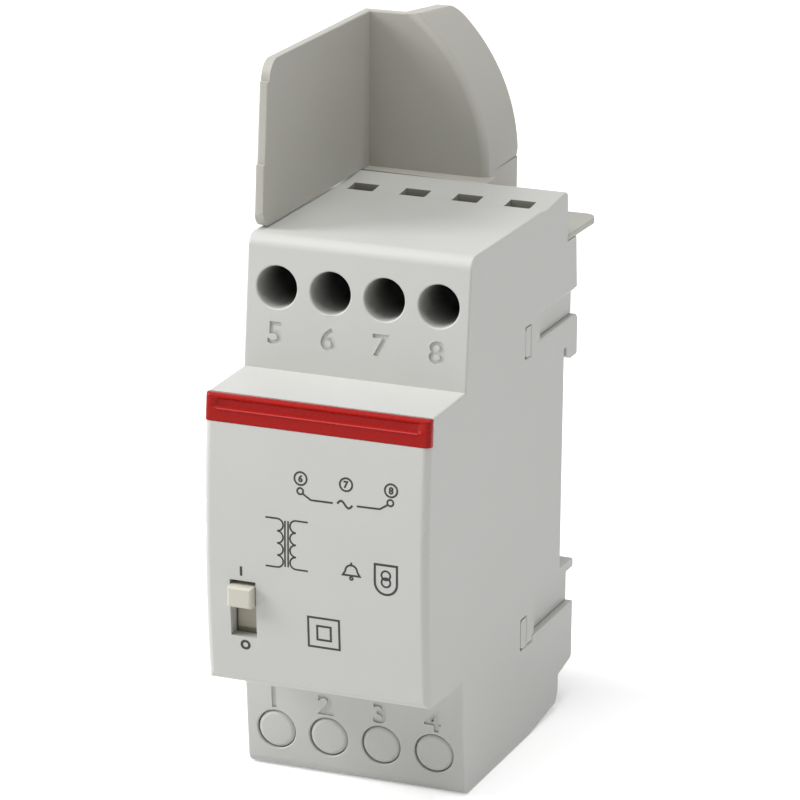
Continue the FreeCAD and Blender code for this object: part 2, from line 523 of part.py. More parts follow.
def separation_shield():
    body = new_body("separation_shield")
    nape = "(upper_nape + nape_gap)"
    flange = shield_flange()
    pad(body, "foot", "XY_Plane", "ledge_height", FOOT_TOP, [[
        (f"-{HALF}", nape), (HALF, nape), (HALF, "shield_foot - foot_round", "foot_round", -1),
        (f"{HALF} - foot_round", "shield_foot"), (f"-{HALF} + foot_round", "shield_foot", "foot_round", -1),
        (f"-{HALF}", "shield_foot - foot_round")]])
    pad(body, "panel", "XZ_Plane", "panel_front", "panel_front + shield_thick",
        [[(f"-{HALF}", "ledge_height"), *flange[1:4], (f"-{HALF}", "shield_top")]])
    pad(body, "flange", "XZ_Plane", "panel_front", "shield_rear", [flange])
    pad(body, "side_plate", "YZ_Plane", f"-{HALF}", f"-{HALF} + shield_thick", [side_plate()])
    dress(body, "Fillet", "crown", "crown_round",
          lambda edge: lies_on(edge, y="-shield_front + 4*edge_lean + 2*edge_step", z="shield_top"))
    dress(body, "Fillet", "chin", "chin_round", lambda edge: lies_on(edge, y="-shield_front", z="shield_low"))
    fallen = "(shield_top - flange_fall)"
    cut(body, "flange_corner", "YZ_Plane", "-width", "width", [[
        ("panel_front + shield_thick", "shield_top"),
        ("shield_rear - flange_round", fallen, "flange_round", 1),
        ("shield_rear", f"{fallen} - flange_round"), ("shield_rear + 1", f"{fallen} - flange_round"),
        ("shield_rear + 1", "shield_top + 1"), ("panel_front + shield_thick", "shield_top + 1")]])
    dress(body, "Fillet", "bend", "bend_round",
          lambda edge: lies_on(edge, y="panel_front")
          and (is_arc(edge, "arc_radius") or lies_on(edge, x="arc_right")))
    tongue_top = "(top_height + crest_rise - tongue_drop)"
    pad(body, "tongue", "XY_Plane", f"{tongue_top} - tongue_thick", tongue_top,
        [oblong(f"-{HALF}", "tongue_right", nape, "panel_front + bend_round + 0.1")])
    pad(body, "pegs", "XY_Plane", "ledge_height - peg_long", "ledge_height + foot_thick/2",
        both([oblong("peg_across - peg_wide/2", "peg_across + peg_wide/2",
                     f"{PEG_BACK} - peg_thick/2", f"{PEG_BACK} + peg_thick/2")]))


def blanking_plug(label, spot):
    """Flush cover of a primary screw, trimmed to the lean of the shoulder."""
    body = new_body(label)
    pad(body, "disc", "XZ_Plane", f"{STEP} - 1", f"{LEAN} + plug_thick",
        circles=[("0", "-screw_height", "plug_radius")])
    low = f"-({BROW} + step_rise)"
    cut(body, "trim", "YZ_Plane", "-width", "width",
        [[(STEP, low), (LEAN, "-foot_depth"), (f"{LEAN} - step_back", "-foot_depth"),
          (f"{STEP} - step_back", low)]])
    place(body, across=spot)


def switch_housing():
    body = new_body("switch_housing")
    back = "-(switch_front - switch_deep)"
    pad(body, "case", "XZ_Plane", "-switch_front", back,
        [centred("-switch_across", "switch_wide/2", "-switch_down", "switch_tall/2")])
    cut(body, "chamber", "XZ_Plane", "-(switch_front - switch_skin)", f"{back} - switch_skin",
        [centred("-switch_across", "slider_wide/2 + slider_gap", "-switch_down",
                 "switch_travel/2 + knob_tall/2 + stem_gap")])
    cut(body, "front_slot", "XZ_Plane", "-switch_front - 1", "-(switch_front - switch_skin)",
        [centred("-switch_across", "stem_wide/2 + stem_gap", "-switch_down",
                 "switch_travel/2 + stem_wide/2 + stem_gap")])
    cut(body, "tail_slots", "XZ_Plane", f"{back} - switch_skin", f"{back} + 1",
        [centred("-switch_across", "contact_wide/2", f"{KNOB_HEIGHT} {side} contact_apart/2",
                 "contact_thick/2") for side in "+-"])


def switch_knob():
    """Cap, stem and slider, moulded in one."""
    body = new_body("switch_knob")
    neck = "-(switch_front + stem_gap)"
    slider_front = "-(switch_front - switch_skin - slider_gap)"
    front = f"{face_at(KNOB_HEIGHT)} - knob_proud"
    pad(body, "cap", "XZ_Plane", front, neck,
        [centred("-switch_across", "knob_wide/2", KNOB_HEIGHT, "knob_tall/2")])
    dress(body, "Fillet", "cap_edges", "knob_round", lambda edge: lies_on(edge, y=front))
    pad(body, "stem", "XZ_Plane", neck, slider_front,
        [centred("-switch_across", "stem_wide/2", KNOB_HEIGHT, "stem_wide/2")])
    pad(body, "slider", "XZ_Plane", slider_front, SLIDER_BACK,
        [centred("-switch_across", "slider_wide/2", KNOB_HEIGHT, "knob_tall/2")])


def switch_bridge():
    body = new_body("switch_bridge")
    pad(body, "strip", "XZ_Plane", SLIDER_BACK, f"{SLIDER_BACK} + bridge_thick",
        [centred("-switch_across", "contact_wide/2", KNOB_HEIGHT, "contact_apart/2 + contact_thick")])


def switch_contact(label, side):
    body = new_body(label)
    pad(body, "blade", "XZ_Plane", f"{SLIDER_BACK} + bridge_thick + contact_gap",
        "-(switch_front - switch_deep) + contact_tail",
        [centred("-switch_across", "contact_wide/2", f"{KNOB_HEIGHT} {side} contact_apart/2",
                 "contact_thick/2")])


def core_e():
    body = new_body("core_e")
    top, inner, centre = "core_tall/2", "(core_tall/2 - limb/2)", "limb/2"
    pad(body, "stack", "YZ_Plane", "-core_stack/2", "core_stack/2", [[
        ("-core_front", f"-{top}"), ("-core_front", top), (LIMB_END, top), (LIMB_END, inner),
        (YOKE_BACK, inner),
        (YOKE_BACK, centre), (LIMB_END, centre), (LIMB_END, f"-{centre}"), (YOKE_BACK, f"-{centre}"),
        (YOKE_BACK, f"-{inner}"), (LIMB_END, f"-{inner}"), (LIMB_END, f"-{top}")]])


def core_i():
    body = new_body("core_i")
    pad(body, "stack", "YZ_Plane", "-core_stack/2", "core_stack/2",
        [oblong(LIMB_END, CORE_BACK, "-core_tall/2", "core_tall/2")])


def core_strap():
    """Folded steel strap that clamps the core; its front ends turn in over the yoke."""
    body = new_body("core_strap")
    front, back = "-(core_front + strap_thick)", f"({CORE_BACK} + strap_thick)"
    top, inside = "(core_tall/2 + strap_thick)", "core_tall/2"
    half = [(back, top), (front, top), (front, f"{inside} - strap_tab"),
            ("-core_front", f"{inside} - strap_tab"),
            ("-core_front", inside), (CORE_BACK, inside)]
    pad(body, "band", "YZ_Plane", "-strap_wide/2", "strap_wide/2",
        [half + [(across, f"-({along})") for across, along in reversed(half)]])


def ring(across, along, across_in, along_in, radius=None):
    """A rectangular frame about the centre, its outer corners rounded where a radius is given."""
    outer = rounded(across, along, radius) if radius else centred("0", across, "0", along)
    return [outer, centred("0", across_in, "0", along_in)]


def bobbin():
    body = new_body("bobbin")
    first, last = YOKE_BACK, f"{LIMB_END} - 2*coil_gap"
    hole = ("core_stack/2 + coil_gap", "limb/2 + coil_gap")
    pad(body, "tube", "XZ_Plane", first, last, ring(TUBE_ACROSS, TUBE_UP, *hole))
    for name, start in (("front_flange", first), ("divider", "-divider_back - bobbin_wall/2"),
                        ("rear_flange", f"{last} - bobbin_wall")):
        pad(body, name, "XZ_Plane", start, f"{start} + bobbin_wall",
            ring("flange_wide/2", "flange_tall/2", *hole))


def coil(label, start, end, rise):
    body = new_body(label)
    pad(body, "turns", "XZ_Plane", start, end,
        ring(f"{TUBE_ACROSS} + {rise}", f"{TUBE_UP} + {rise}", TUBE_ACROSS, TUBE_UP, "coil_round"))


def tape(label, start, end, rise):
    body = new_body(label)
    inside = rounded(f"{TUBE_ACROSS} + {rise}", f"{TUBE_UP} + {rise}", "coil_round")
    outside = rounded(f"{TUBE_ACROSS} + {rise} + tape_thick", f"{TUBE_UP} + {rise} + tape_thick",
                      "coil_round + tape_thick")
    pad(body, "wrap", "XZ_Plane", start, end, [outside, inside])


def coils():
    primary = (f"{YOKE_BACK} + bobbin_wall", "-divider_back - bobbin_wall/2")
    secondary = ("-divider_back + bobbin_wall/2", f"{LIMB_END} - 2*coil_gap - bobbin_wall")
    coil("primary_winding", *primary, "primary_rise")
    tape("primary_tape", *primary, "primary_rise")
    coil("secondary_winding", *secondary, "secondary_rise")
    tape("secondary_tape", *secondary, "secondary_rise")


def thermal_fuse():
    body = new_body("thermal_fuse")
    pad(body, "case", "XZ_Plane", "-fuse_front", "-fuse_rear",
        circles=[("fuse_across", f"{TUBE_UP} + primary_rise + tape_thick + fuse_radius", "fuse_radius")])


def terminal_screw(label, seat):
    """Captive clamp screw with a slotted head, turned about the Y axis."""
    body = new_body(label)
    sketch = new_sketch(body, "XY_Plane", "0")
    tip = f"-({BAR_FRONT} + tip_gap)"
    outline(sketch, [("0", "-(head_seat + head_thick)"), ("head_radius", "-(head_seat + head_thick)"),
                     ("head_radius", "-head_seat"), ("screw_radius", "-head_seat"), ("screw_radius", tip),
                     ("0", tip)])
    turned = body.newObject("PartDesign::Revolution", "turned")
    turned.Profile = sketch
    turned.ReferenceAxis = (sketch, ["V_Axis"])
    turned.Angle = 360
    cut(body, "slot", "XZ_Plane", "-(head_seat + head_thick) - 1", "-(head_seat + head_thick) + slot_deep",
        [centred("0", "head_radius + 1", "0", "slot_wide/2")])
    place(body, *seat)


def clamp_cage(label, seat):
    """Lift cage: the screw draws it forward and it clamps the wire against the contact bar."""
    body = new_body(label)
    outer = oblong("-cage_wide/2", "cage_wide/2", "-cage_front", f"-({CAGE_REAR} - cage_rear)")
    inner = oblong("-(cage_wide/2 - cage_side)", "cage_wide/2 - cage_side", "-(cage_front - cage_nut)",
                   f"-{CAGE_REAR}")
    pad(body, "loop", "XY_Plane", "-cage_tall/2", "cage_tall/2", [outer, inner])
    cut(body, "screw_hole", "XZ_Plane", "-cage_front - 1", "-(cage_front - cage_nut)",
        circles=[("0", "0", "screw_radius + thread_gap")])
    place(body, *seat)


def contact_bar(label, seat, turned):
    body = new_body(label)
    front, back = f"-{BAR_FRONT}", f"-({BAR_FRONT} - bar_thick)"
    pad(body, "bar", "YZ_Plane", "-bar_wide/2", "bar_wide/2", [[
        (f"{front} - bar_foot", "-bar_down"), (back, "-bar_down"), (back, "bar_up"), (front, "bar_up"),
        (front, "-bar_down + bar_thick"), (f"{front} - bar_foot", "-bar_down + bar_thick")]])
    place(body, *seat, turned=turned)


def terminal_carrier(label, height, rise, rear_drop, turned):
    """Comb that holds four clamps: a front ledge for the screw heads, a floor and open chambers."""
    body = new_body(label)
    half = f"({INNER} - carrier_gap)"
    pad(body, "block", "YZ_Plane", f"-{half}", half, [[
        ("-head_seat", "-carrier_floor"), ("-head_seat", rise), ("-(sole_back + slope_gap)", rise),
        ("-carrier_end", f"{rise} - {rear_drop}"), ("-carrier_end", "-carrier_floor")]])
    room, edge = "(cage_wide/2 + chamber_gap)", "(width/2)"
    lefts = [f"-{edge}"] + [f"{spot} - {room}" for spot in SPOTS[1:]]
    rights = [f"{spot} + {room}" for spot in SPOTS[:-1]] + [edge]
    cut(body, "chambers", "XY_Plane", "-(carrier_floor - floor_thick)", f"{rise} + 1",
        [oblong(left, right, "-(head_seat - ledge_thick)", "-(carrier_end + carrier_wall)")
         for left, right in zip(lefts, rights)])
    cut(body, "shank_holes", "XZ_Plane", "-head_seat - 1", "-(head_seat - ledge_thick)",
        circles=[(spot, "0", "screw_radius + shank_gap") for spot in SPOTS])
    cut(body, "bar_slots", "XY_Plane", "-carrier_floor - 1", "-(carrier_floor - floor_thick)",
        [oblong(f"{spot} - bar_wide/2", f"{spot} + bar_wide/2", f"-{BAR_FRONT}",
                f"-({BAR_FRONT} - bar_thick)")
         for spot in SPOTS])
    place(body, height=height, turned=turned)


def terminals():
    slope = "((sole_back - carrier_end)/(sole_back - rear_wall) + slope_gap)"
    terminal_carrier("terminal_carrier_top", "screw_height", "(top_height - top_wall - screw_height)", "0",
                     False)
    terminal_carrier("terminal_carrier_bottom", "-screw_height", "(foot_depth - top_wall - screw_height)",
                     slope, True)
    for height, turned, first in (("-screw_height", True, 1), ("screw_height", False, 5)):
        for index, spot in enumerate(SPOTS, first):
            seat = (spot, "0", height)
            terminal_screw(f"terminal_screw_{index}", seat)
            clamp_cage(f"clamp_cage_{index}", seat)
            contact_bar(f"contact_bar_{index}", seat, turned)
    for index, spot in enumerate(SPOTS, 1):
        blanking_plug(f"blanking_plug_{index}", spot)


def rail_latch():
    """Sliding latch: a jaw under the rail, guide wings, a window for the spring and a pry slot."""
    body = new_body("rail_latch")
    grip = "-(rail_tall/2 + grip_gap)"
    pad(body, "slide", "YZ_Plane", "-latch_wide/2", "latch_wide/2", [[
        ("latch_front", "-latch_low"), ("latch_front", grip), (LIP, grip), (LIP, "-latch_grip"),
        (f"{LIP} + jaw_tip", "-latch_grip"), (LATCH_REAR, "-(latch_grip + jaw_slope)"),
        (LATCH_REAR, "-latch_low")]])
    pad(body, "wings", "XY_Plane", "-wing_bottom", "-wing_top",
        [oblong("-(latch_wide/2 + wing_wide)", "latch_wide/2 + wing_wide", "latch_front",
                "latch_front + wing_thick")])
    cut(body, "spring_window", "XZ_Plane", "0", "low_rear",
        [oblong("-spring_window/2", "spring_window/2",
                f"{SPRING_LOW} - post_tall - latch_travel - stop_gap", "-spring_top")])
    cut(body, "pry_slot", "XZ_Plane", "0", "low_rear",
        [oblong("-pry_wide/2", "pry_wide/2", "-(pry_top + pry_tall)", "-pry_top")])


def latch_spring():
    """Compression spring between the post and the top of the latch's window; its wire is square."""
    helix = doc.addObject("Part::Helix", "spring_path")
    helix.setExpression("Radius", bound("(spring_outer - spring_wire)/2"))
    helix.setExpression("Height", bound("spring_long - spring_wire"))
    helix.setExpression("Pitch", bound("(spring_long - spring_wire)/spring_turns"))
    wire = doc.addObject("Part::RegularPolygon", "spring_section")
    wire.Polygon = 4
    wire.setExpression("Circumradius", bound("spring_wire/2"))
    wire.setExpression("Placement.Base.x", bound("(spring_outer - spring_wire)/2"))
    wire.Placement.Rotation = FreeCAD.Rotation(FreeCAD.Vector(1, 0, 0), 90)
    spring = doc.addObject("Part::Sweep", "latch_spring")
    spring.Label = "latch_spring"
    spring.Sections = [wire]
    spring.Spine = (helix, ["Edge1"])
    spring.Solid = True
    spring.Frenet = True
    spring.setExpression("Placement.Base.y", bound("latch_front + latch_thick/2"))
    spring.setExpression("Placement.Base.z", bound(f"{SPRING_LOW} + spring_wire/2"))


def check_and_export():
    for item in doc.Objects:
        if "Invalid" in item.State or "Error" in item.State:
            raise RuntimeError(f"{item.Name} failed: {item.State}")
        if item.TypeId == "PartDesign::Pocket" and item.Shape.Volume > item.BaseFeature.Shape.Volume - 1e-3:
            raise RuntimeError(f"{item.Name} in {item.getParentGeoFeatureGroup().Label} cuts nothing")
    pieces = [item for item in doc.Objects if item.TypeId in ("PartDesign::Body", "Part::Sweep")]
    for piece in pieces:
        if piece.Shape.isNull() or not piece.Shape.isValid() or len(piece.Shape.Solids) != 1:
            raise RuntimeError(f"{piece.Label} is not one valid solid")
    for piece in pieces:
        piece.Shape.exportStep(f"parts/{piece.Label}.step")


def main():
    fill_sheet()
    for build in (front_cover, rear_base, marking_strip, separation_shield, switch_housing, switch_knob,
                  switch_bridge, core_e, core_i, core_strap, bobbin, coils, thermal_fuse, terminals,
                  rail_latch, latch_spring):
        build()
    switch_contact("switch_contact_line", "+")
    switch_contact("switch_contact_load", "-")
    doc.recompute()
    check_and_export()


main()
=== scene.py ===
import json
import math

import bmesh
import bpy
from mathutils import Euler, Matrix, Vector


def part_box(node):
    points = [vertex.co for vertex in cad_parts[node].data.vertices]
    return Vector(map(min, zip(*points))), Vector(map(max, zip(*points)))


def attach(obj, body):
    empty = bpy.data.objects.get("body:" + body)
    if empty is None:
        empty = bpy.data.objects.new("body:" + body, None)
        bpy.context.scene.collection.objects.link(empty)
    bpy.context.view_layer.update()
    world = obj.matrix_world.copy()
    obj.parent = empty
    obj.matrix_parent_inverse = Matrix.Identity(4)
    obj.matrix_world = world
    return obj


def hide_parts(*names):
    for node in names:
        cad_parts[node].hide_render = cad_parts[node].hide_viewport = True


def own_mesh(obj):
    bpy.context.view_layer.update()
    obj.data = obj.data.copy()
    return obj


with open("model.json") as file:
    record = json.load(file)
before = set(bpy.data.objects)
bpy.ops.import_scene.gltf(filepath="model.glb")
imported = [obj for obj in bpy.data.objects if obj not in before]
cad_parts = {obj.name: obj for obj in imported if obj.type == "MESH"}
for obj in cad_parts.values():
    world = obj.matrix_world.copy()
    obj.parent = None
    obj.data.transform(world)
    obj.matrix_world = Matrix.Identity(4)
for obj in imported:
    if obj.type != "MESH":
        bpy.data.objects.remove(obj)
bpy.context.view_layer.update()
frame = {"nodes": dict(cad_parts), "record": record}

MM = 0.001
X, Z = 0, 2
WHITE = (1, 1, 1, 1)


def span(node, axis):
    """Lowest and highest coordinate of a CAD node along an axis, in millimetres."""
    low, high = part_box(node)
    return round(low[axis] / MM, 3), round(high[axis] / MM, 3)


# Sizes below are millimetres in the model's frame: +X right, +Y back, +Z up
HALF_WIDTH = span("front_cover", X)[1]
FOOT_DEPTH = -span("front_cover", Z)[0]
TOP_HEIGHT = 42.9
STRIP_LOW, BROW = span("marking_strip", Z)

# Crowned face: distance from the rail seat, height of its peak and radius
FACE_DEPTH = 57.5
FACE_PEAK = 3.5
FACE_RADIUS = 200.0

# Shoulders above and below the face: how far they stand back, where they start and how far they lean
STEP_BACK = 14.9
STEP_RISE = 0.3
LEAN = 1.8

# Screw bores, with the depth at which the painted shade on their walls is full, and the caps, numbers and
# print on the cover
TERMINALS = tuple(sum(span(f"terminal_screw_{number}", X)) / 2 for number in range(1, 5))
BORE_HEIGHT = sum(span("terminal_screw_5", Z)) / 2
BORE_RADIUS = 3.25
BORE_MOUTH = -42.0
BORE_FULL_SHADE = -31.5
BORE_END = -20.0
CAP_SWELL = 1.02
CAP_ROUNDING = 0.8
ENGRAVED = 0.3
CUTTER_PROUD = 0.3
NUMBER_TALL = 3.45
NUMBER_WEIGHT = 0.022
NUMBER_SPREAD = 1.15
INK = 0.015

# Wire entries in the top: where they lie, how far down the painted shade on their walls is full, and where
# they end
ENTRY_FRONT = -12.0
ENTRY_BACK = -5.0
ENTRY_FULL_SHADE = 38.5
ENTRY_DEEP = 4.0

# Slide switch: middle of the knob, its travel, the shutter's front and size, and the room round it in all
KNOB_ACROSS = sum(span("switch_knob", X)) / 2
KNOB_HEIGHT = sum(span("switch_knob", Z)) / 2
KNOB_TRAVEL = 4.4
SHUTTER_FRONT = -54.55
SHUTTER_WIDE = 3.9
SHUTTER_THICK = 0.4
SHUTTER_TALL = 11.9
ROOM_ACROSS = 0.5
ROOM_DEEP = 0.3
ROOM_ALONG = 1.3

# Marking strip: rounded ends and top, a sunk band, a ridge below the band, and the half width of the
# painted highlight along the ridge
END_RADIUS = 0.7
TOP_RADIUS = 0.45
BAND_END = 16.7
BAND_SLOPE = 0.8
BAND_DEPTH = 0.3
BAND_FOOT = 0.25
BAND_LIP = 0.5
BAND_HEAD = 0.3
RIDGE_DROP = 0.1
RIDGE_HALF = 0.12
RIDGE_PEAK = 0.18
RIDGE_LIT = 0.1
STRIP_MIDDLE = (STRIP_LOW + BROW) / 2

# Spring of the rail latch: wire and turns
WIRE = 0.5
COIL_TURNS = 7


def crown(height):
    """Depth of the crowned front face at a height."""
    return -FACE_DEPTH + (height - FACE_PEAK) ** 2 / (2 * FACE_RADIUS)


def shoulder(height):
    """Depth of the leaning shoulders at a height above or below the face."""
    low = BROW + STEP_RISE
    far = TOP_HEIGHT if height > 0 else FOOT_DEPTH
    return -FACE_DEPTH + STEP_BACK + LEAN * (abs(height) - low) / (far - low)


# Camera, light and stage

# The camera's place and the floor's gap are in millimetres, the lamps and the floor's size in metres,
# and turns are in degrees
CAMERA_PLACE = (246.988, -638.264, 217.934)
CAMERA_TURNS = (72.90506, -0.49835, 22.06146)
CAMERA_LENS = 204.12
LAMP_SIDE = 0.5
LAMP_AIM = (0, -0.02, 0.01)
LAMPS = (
    ("key", (-0.95, -0.5, 0.75), 9.0),
    ("left", (-1.1, -0.35, 0.45), 4.8),
    ("top", (0.05, -0.15, 1.1), 5.9),
    ("front", (-0.35, -0.7, 0.95), 1.4),
    ("fill", (1.11, 0.0, 0.35), 1.9),
)
ROOM_LIGHT = 0.22
FLOOR_HALF = 3.0
FLOOR_GAP = 0.03
FLOOR_PAINT = 0.86
FLOOR_GLOW = 0.42


def add_camera():
    """From the right and above, through a long lens, as in the photograph."""
    data = bpy.data.cameras.new("camera")
    data.lens = CAMERA_LENS
    data.sensor_width = 36.0
    data.clip_start = 0.01
    data.clip_end = 20.0
    camera = bpy.data.objects.new("camera", data)
    turns = Euler([math.radians(turn) for turn in CAMERA_TURNS])
    camera.matrix_world = Matrix.LocRotScale(Vector(CAMERA_PLACE) * MM, turns, Vector((1, 1, 1)))
    bpy.context.collection.objects.link(camera)
    bpy.context.scene.camera = camera


def add_lamp(name, place, power):
    """Square white lamp that faces the device; its place is in metres."""
    data = bpy.data.lights.new(name, "AREA")
    data.shape = "SQUARE"
    data.size = LAMP_SIDE
    data.energy = power
    lamp = bpy.data.objects.new(name, data)
    lamp.location = place
    aim = Vector(LAMP_AIM) - Vector(place)
    lamp.rotation_euler = aim.to_track_quat("-Z", "Y").to_euler()
    bpy.context.collection.objects.link(lamp)


def seen_directly(nodes, links):
    """Socket that is 1 for camera, glossy and transmission rays."""
    path = nodes.new("ShaderNodeLightPath")
    total = path.outputs["Is Camera Ray"]
    for ray in ("Is Glossy Ray", "Is Transmission Ray"):
        add = nodes.new("ShaderNodeMath")
        add.operation = "ADD"
        add.use_clamp = True
        links.new(total, add.inputs[0])
        links.new(path.outputs[ray], add.inputs[1])
        total = add.outputs[0]
    return total


def add_world():
    """White where it is seen, and a soft even light for everything else."""
    world = bpy.data.worlds.new("studio")
    bpy.context.scene.world = world
    world.use_nodes = True
    nodes, links = world.node_tree.nodes, world.node_tree.links
    nodes.clear()
    out = nodes.new("ShaderNodeOutputWorld")
    mix = nodes.new("ShaderNodeMixShader")
    for index, strength in ((1, ROOM_LIGHT), (2, 1.0)):
        glow = nodes.new("ShaderNodeBackground")
        glow.inputs["Color"].default_value = WHITE
        glow.inputs["Strength"].default_value = strength
        links.new(glow.outputs[0], mix.inputs[index])
    links.new(seen_directly(nodes, links), mix.inputs[0])
    links.new(mix.outputs[0], out.inputs["Surface"])


def floor_paint():
    """Pale paint that comes out white where it is lit and seen, and keeps a soft shadow."""
    material = bpy.data.materials.new("floor")
    material.use_nodes = True
    nodes, links = material.node_tree.nodes, material.node_tree.links
    nodes.clear()
    out = nodes.new("ShaderNodeOutputMaterial")
    paint = nodes.new("ShaderNodeBsdfDiffuse")
    paint.inputs["Color"].default_value = (FLOOR_PAINT, FLOOR_PAINT, FLOOR_PAINT, 1)
    glow = nodes.new("ShaderNodeEmission")
    glow.inputs["Strength"].default_value = FLOOR_GLOW
    both = nodes.new("ShaderNodeAddShader")
    links.new(paint.outputs[0], both.inputs[0])
    links.new(glow.outputs[0], both.inputs[1])
    mix = nodes.new("ShaderNodeMixShader")
    links.new(seen_directly(nodes, links), mix.inputs[0])
    links.new(paint.outputs[0], mix.inputs[1])
    links.new(both.outputs[0], mix.inputs[2])
    links.new(mix.outputs[0], out.inputs["Surface"])
    return material


def add_floor():
    """Plane just under the foot of the device."""
    level = (-FOOT_DEPTH - FLOOR_GAP) * MM
    corners = [(x * FLOOR_HALF, y * FLOOR_HALF, level) for x, y in ((-1, -1), (1, -1), (1, 1), (-1, 1))]
    mesh = bpy.data.meshes.new("floor")
    mesh.from_pydata(corners, [], [(0, 1, 2, 3)])
    floor = bpy.data.objects.new("floor", mesh)
    bpy.context.collection.objects.link(floor)
    floor.data.materials.append(floor_paint())


# Materials

MOTTLE = 0.03
SPARK_SCALE = 3600.0
SPARK_DEPTH = 0.02 * MM
BRUSHED = 0.3


def new_material(name):
    material = bpy.data.materials.new(name)
    material.use_nodes = True
    nodes = material.node_tree.nodes
    return material, nodes, material.node_tree.links, nodes["Principled BSDF"]


def own_place(nodes):
    """Socket with the place in the object's own space."""
    return nodes.new("ShaderNodeTexCoord").outputs["Object"]


def noise(nodes, links, scale, detail, stretch=None):
    """Noise in the object's own space, stretched where a direction is given."""
    place = own_place(nodes)
    if stretch:
        mapping = nodes.new("ShaderNodeMapping")
        mapping.inputs["Scale"].default_value = stretch
        links.new(place, mapping.inputs["Vector"])
        place = mapping.outputs[0]
    texture = nodes.new("ShaderNodeTexNoise")
    texture.inputs["Scale"].default_value = scale
    texture.inputs["Detail"].default_value = detail
    links.new(place, texture.inputs["Vector"])
    return texture.outputs["Fac"]


def bands(nodes, links, direction, scale, distortion=0.0):
    """Fine parallel bands along one axis, for turns of wire and stacked sheets."""
    texture = nodes.new("ShaderNodeTexWave")
    texture.bands_direction = direction
    texture.inputs["Scale"].default_value = scale
    texture.inputs["Distortion"].default_value = distortion
    links.new(own_place(nodes), texture.inputs["Vector"])
    return texture.outputs["Fac"]


def blend(nodes, links, factor, low, high):
    """Colour between two colours."""
    mix = nodes.new("ShaderNodeMix")
    mix.data_type = "RGBA"
    mix.inputs[6].default_value = (*low, 1)
    mix.inputs[7].default_value = (*high, 1)
    links.new(factor, mix.inputs[0])
    return mix.outputs[2]


def ramp(nodes, links, value, low, high):
    """Value between two values."""
    scaled = nodes.new("ShaderNodeMapRange")
    scaled.inputs["To Min"].default_value = low
    scaled.inputs["To Max"].default_value = high
    links.new(value, scaled.inputs["Value"])
    return scaled.outputs[0]


def bump(nodes, links, shader, height, strength, distance):
    lift = nodes.new("ShaderNodeBump")
    lift.inputs["Strength"].default_value = strength
    lift.inputs["Distance"].default_value = distance
    links.new(height, lift.inputs["Height"])
    links.new(lift.outputs[0], shader.inputs["Normal"])


def shade(colour, factor):
    return tuple(min(1.0, part * factor) for part in colour)


def plastic(name, colour, roughness, grain=0.35):
    """Moulded plastic: fine spark-eroded grain, faint flow mottling and uneven gloss."""
    material, nodes, links, shader = new_material(name)
    flow = noise(nodes, links, 90.0, 4.0)
    mottled = blend(nodes, links, flow, shade(colour, 1 - MOTTLE), shade(colour, 1 + MOTTLE))
    gloss = ramp(nodes, links, flow, roughness - 0.06, roughness + 0.06)
    links.new(mottled, shader.inputs["Base Color"])
    links.new(gloss, shader.inputs["Roughness"])
    bump(nodes, links, shader, noise(nodes, links, SPARK_SCALE, 2.0), grain, SPARK_DEPTH)
    return material


def glossy_red(name, colour):
    """Red strip: glossy, a little deeper in colour here and there along its length."""
    material, nodes, links, shader = new_material(name)
    flow = noise(nodes, links, 60.0, 3.0, (0.3, 1, 1.6))
    uneven = blend(nodes, links, flow, shade(colour, 0.85), shade(colour, 1.15))
    gloss = ramp(nodes, links, noise(nodes, links, 700.0, 3.0), 0.22, 0.34)
    links.new(uneven, shader.inputs["Base Color"])
    links.new(gloss, shader.inputs["Roughness"])
    shader.inputs["Specular IOR Level"].default_value = 0.18
    return material


def metal(name, colour, roughness, stretch=None):
    """Bare or plated metal with a fine grain, drawn out where a direction is given."""
    material, nodes, links, shader = new_material(name)
    shader.inputs["Metallic"].default_value = 1.0
    grain = noise(nodes, links, 600.0, 5.0, stretch)
    links.new(blend(nodes, links, grain, shade(colour, 0.8), colour), shader.inputs["Base Color"])
    links.new(ramp(nodes, links, grain, roughness - 0.1, roughness + 0.15), shader.inputs["Roughness"])
    bump(nodes, links, shader, grain, BRUSHED, 0.02 * MM)
    return material


def wound_wire(name, colour):
    """Enamelled wire: fine turns round the coil."""
    material, nodes, links, shader = new_material(name)
    shader.inputs["Metallic"].default_value = 0.85
    shader.inputs["Roughness"].default_value = 0.3
    turns = bands(nodes, links, "Y", 900.0, 0.6)
    links.new(blend(nodes, links, turns, shade(colour, 0.45), colour), shader.inputs["Base Color"])
    bump(nodes, links, shader, turns, 0.8, 0.08 * MM)
    return material


def stacked_steel(name, colour):
    """Lamination stack: thin sheets side by side."""
    material, nodes, links, shader = new_material(name)
    shader.inputs["Metallic"].default_value = 0.9
    sheets = bands(nodes, links, "X", 640.0)
    links.new(blend(nodes, links, sheets, shade(colour, 0.5), colour), shader.inputs["Base Color"])
    links.new(ramp(nodes, links, noise(nodes, links, 500.0, 4.0), 0.4, 0.65), shader.inputs["Roughness"])
    bump(nodes, links, shader, sheets, 0.5, 0.05 * MM)
    return material


def shaded_walls(name, axis, near, far, colour):
    """Plastic walls of an opening with painted shade: their colour darkens from its mouth inwards along one
    axis.
    """
    material, nodes, links, shader = new_material(name)
    parts = nodes.new("ShaderNodeSeparateXYZ")
    links.new(own_place(nodes), parts.inputs[0])
    depth = nodes.new("ShaderNodeMapRange")
    depth.inputs["From Min"].default_value = near * MM
    depth.inputs["From Max"].default_value = far * MM
    links.new(parts.outputs[axis], depth.inputs["Value"])
    # Colour fades from the mouth's colour to near black: painted shade
    links.new(blend(nodes, links, depth.outputs[0], colour, PAINTED_SHADE_GREY), shader.inputs["Base Color"])
    links.new(ramp(nodes, links, noise(nodes, links, 400.0, 3.0), 0.4, 0.55), shader.inputs["Roughness"])
    bump(nodes, links, shader, noise(nodes, links, SPARK_SCALE, 2.0), 0.3, SPARK_DEPTH)
    return material


